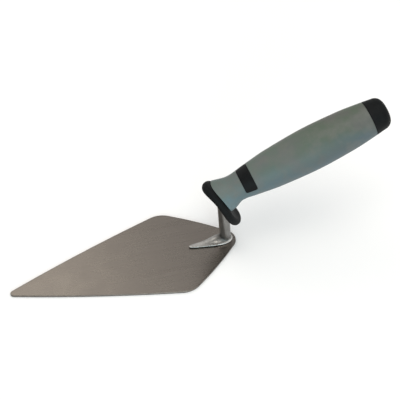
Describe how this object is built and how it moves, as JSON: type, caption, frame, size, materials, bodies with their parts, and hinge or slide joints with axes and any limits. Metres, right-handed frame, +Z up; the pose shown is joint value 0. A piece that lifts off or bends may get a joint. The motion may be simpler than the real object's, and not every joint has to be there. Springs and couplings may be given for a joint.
{
  "type": "brick trowel",
  "caption": "Pointing trowel with a kite-shaped steel blade, cranked round shank, finger guard and soft-grip handle with a domed cap.",
  "frame": {"origin": "on the blade's flat underside, on its centre line, below the foot of the shank", "axes": "+X from the blade's tip towards the handle, +Y across the blade, +Z up, away from the blade's underside"},
  "size_m": [0.2492, 0.0682, 0.09],
  "materials": {
    "blade_steel": "ground, fine grain along the blade",
    "tang_steel": "forged and linished, satin",
    "weld_steel": "fused, unfinished",
    "core_plastic": "as moulded",
    "guard_plastic": "fine matt texture",
    "grip_rubber": "soft-touch, semi-matt, grey-green",
    "band_plastic": "fine matt texture",
    "cap_plastic": "fine matt texture"
  },
  "bodies": {
    "root": {"blade": "blade_steel", "tang": "tang_steel", "weld_front": "weld_steel", "weld_rear": "weld_steel", "handle_core": "core_plastic", "finger_guard": "guard_plastic", "grip_sleeve": "grip_rubber", "thumb_band": "band_plastic", "end_cap": "cap_plastic"}
  },
  "joints": []
}
